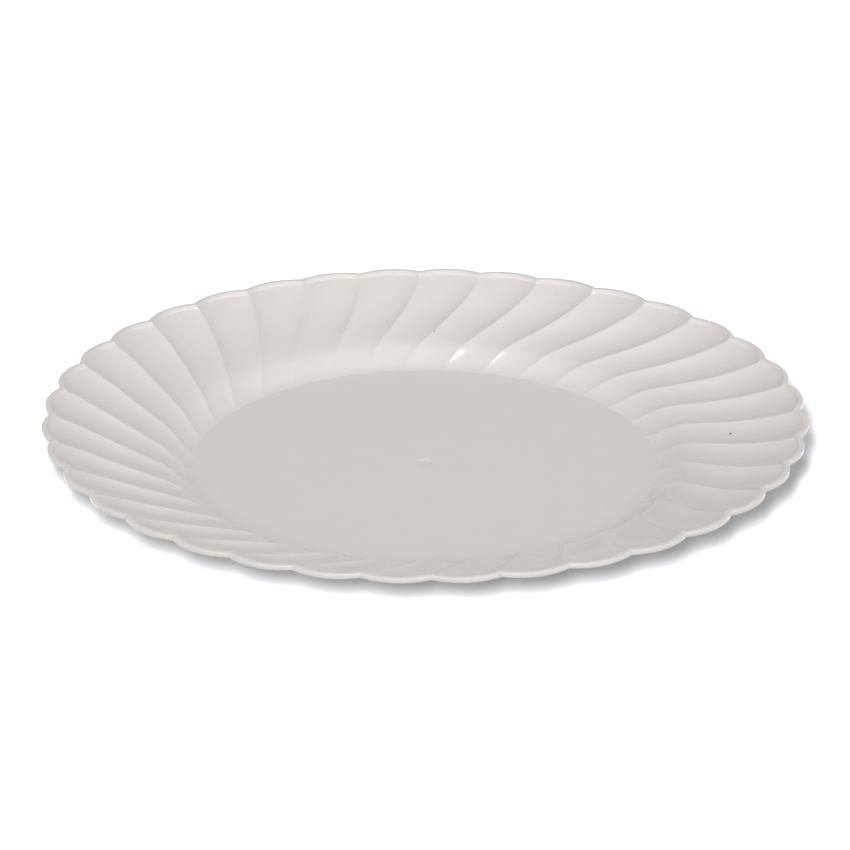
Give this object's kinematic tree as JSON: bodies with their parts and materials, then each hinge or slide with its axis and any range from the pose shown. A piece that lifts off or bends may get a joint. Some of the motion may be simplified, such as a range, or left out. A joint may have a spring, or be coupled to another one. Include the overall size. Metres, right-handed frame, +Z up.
{
  "type": "disposable plastic plate",
  "caption": "Round disposable plastic plate with a flat well, a swirled fluted rim and a scalloped lip.",
  "frame": {"origin": "centre of the base's underside, on the plate's axis, where it rests on a table", "axes": "+Z up, out of the well, along the plate's axis; +X runs out through the tip of one scallop"},
  "size_m": [0.2286, 0.2286, 0.0178],
  "materials": {
    "plastic": "glossy warm-white moulded polystyrene, very slightly uneven"
  },
  "bodies": {
    "root": {"plate": "plastic"}
  },
  "joints": []
}
